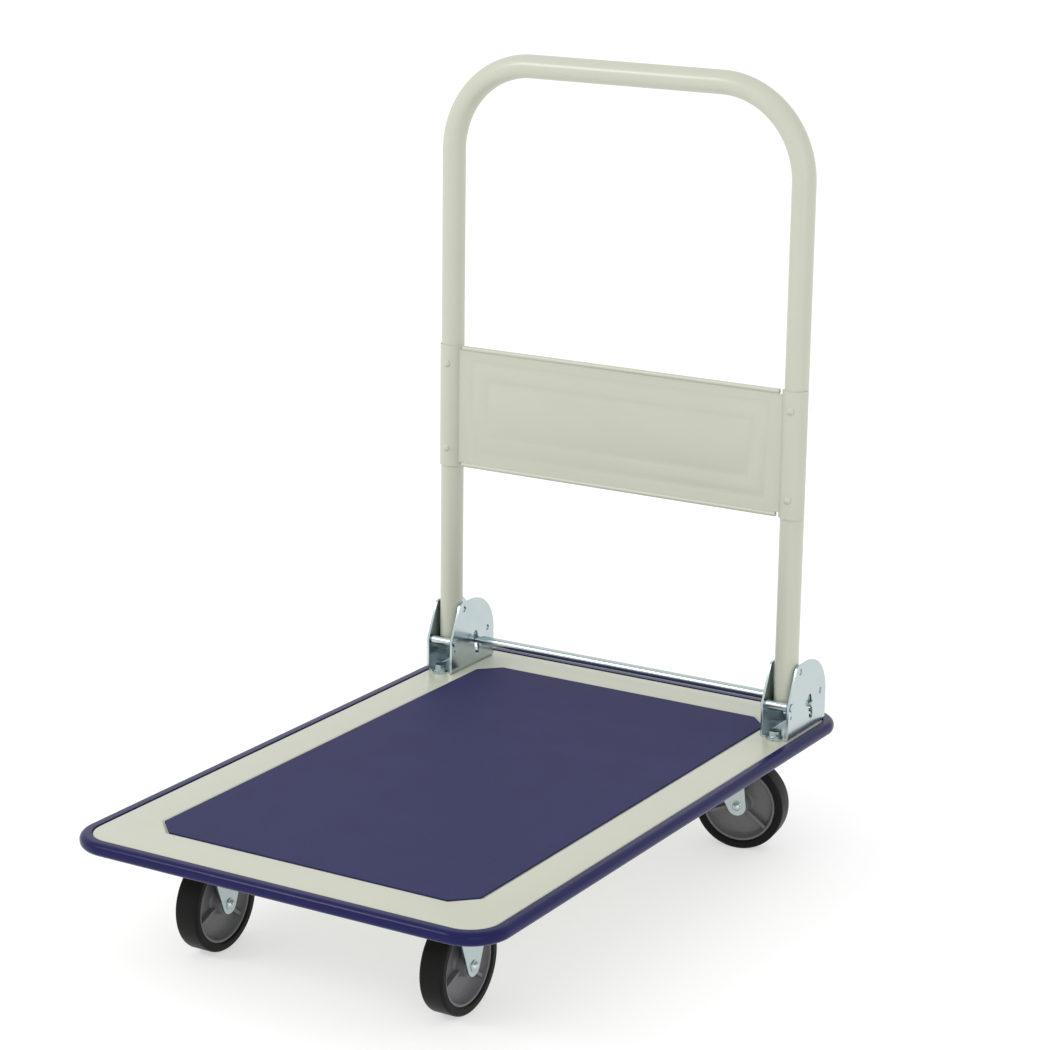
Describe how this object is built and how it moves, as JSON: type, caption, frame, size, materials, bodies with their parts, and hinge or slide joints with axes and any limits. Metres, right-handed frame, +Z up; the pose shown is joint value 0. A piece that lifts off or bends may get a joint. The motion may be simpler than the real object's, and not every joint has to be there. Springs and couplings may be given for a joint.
{
  "type": "folding platform cart",
  "caption": "Flat-deck hand cart on fixed and swivel casters, with a bent-tube handle that folds forward onto the deck when the release rod is pressed.",
  "frame": {"origin": "on the floor under the middle of the deck", "axes": "+Z up, +Y towards the handle end, +X to the right for someone looking along +Y"},
  "size_m": [0.4824, 0.7524, 0.8337],
  "materials": {
    "cream_paint": "semi-gloss",
    "mat_vinyl": "fine ribbed vinyl",
    "bumper_rubber": "satin",
    "zinc": "bright zinc plate",
    "ball_steel": "polished",
    "hub_plastic": "moulded",
    "tyre_rubber": "satin"
  },
  "bodies": {
    "cart": {"deck_pan": "cream_paint", "deck_mat": "mat_vinyl", "deck_bumper": "bumper_rubber", "deck_rails": "cream_paint", "deck_ribs": "cream_paint", "caster_pads": "cream_paint", "caster_studs": "zinc", "caster_nuts": "zinc", "bracket_backings": "zinc", "bracket_left": "zinc", "bracket_right": "zinc", "bracket_bolts": "zinc", "bracket_washers": "zinc", "bracket_nuts": "zinc", "pivot_pins": "zinc", "front_plates": "zinc", "front_fork_left": "zinc", "front_fork_right": "zinc", "front_axles": "zinc", "front_axle_nuts": "zinc", "front_spacers": "zinc", "rear_plates": "zinc", "kingpins": "zinc", "kingpin_nuts": "zinc"},
    "handle": {"handle_tube": "cream_paint", "handle_panel": "cream_paint", "panel_rivets": "cream_paint", "handle_foot_left": "zinc", "handle_foot_right": "zinc"},
    "release_bar": {"release_rod": "zinc", "release_sleeve": "zinc", "rod_clips": "zinc", "rod_springs": "zinc"},
    "front_wheel_left": {"front_tyre_left": "tyre_rubber", "front_hub_left": "hub_plastic"},
    "front_wheel_right": {"front_tyre_right": "tyre_rubber", "front_hub_right": "hub_plastic"},
    "rear_caster_left": {"rear_fork_left": "zinc", "rear_balls_left": "ball_steel", "rear_axle_left": "zinc", "rear_axle_nut_left": "zinc", "rear_spacer_left": "zinc"},
    "rear_wheel_left": {"rear_tyre_left": "tyre_rubber", "rear_hub_left": "hub_plastic"},
    "rear_caster_right": {"rear_fork_right": "zinc", "rear_balls_right": "ball_steel", "rear_axle_right": "zinc", "rear_axle_nut_right": "zinc", "rear_spacer_right": "zinc"},
    "rear_wheel_right": {"rear_tyre_right": "tyre_rubber", "rear_hub_right": "hub_plastic"}
  },
  "joints": [
    {"name": "handle_fold", "type": "hinge", "parent": "cart", "child": "handle", "pos_m": [0, 0.263, 0.169], "axis": [1, 0, 0], "range_deg": [0, 90]},
    {"name": "release_press", "type": "slide", "parent": "cart", "child": "release_bar", "axis": [0, 0.2079, -0.9781], "range_m": [0, 0.012], "stiffness_N_per_m": 1500, "springref_m": -0.01, "deforming": ["rod_springs"]},
    {"name": "front_spin_left", "type": "hinge", "parent": "cart", "child": "front_wheel_left", "pos_m": [-0.1415, -0.262, 0.05], "axis": [1, 0, 0], "continuous": true},
    {"name": "front_spin_right", "type": "hinge", "parent": "cart", "child": "front_wheel_right", "pos_m": [0.1415, -0.262, 0.05], "axis": [1, 0, 0], "continuous": true},
    {"name": "rear_swivel_left", "type": "hinge", "parent": "cart", "child": "rear_caster_left", "pos_m": [-0.1415, 0.267, 0.11], "axis": [0, 0, 1], "continuous": true},
    {"name": "rear_spin_left", "type": "hinge", "parent": "rear_caster_left", "child": "rear_wheel_left", "pos_m": [-0.11647, 0.27711, 0.05], "axis": [0.3746, -0.9272, 0], "continuous": true},
    {"name": "rear_swivel_right", "type": "hinge", "parent": "cart", "child": "rear_caster_right", "pos_m": [0.1415, 0.267, 0.11], "axis": [0, 0, 1], "continuous": true},
    {"name": "rear_spin_right", "type": "hinge", "parent": "rear_caster_right", "child": "rear_wheel_right", "pos_m": [0.16824, 0.27076, 0.05], "axis": [0.1392, -0.9903, 0], "continuous": true}
  ]
}
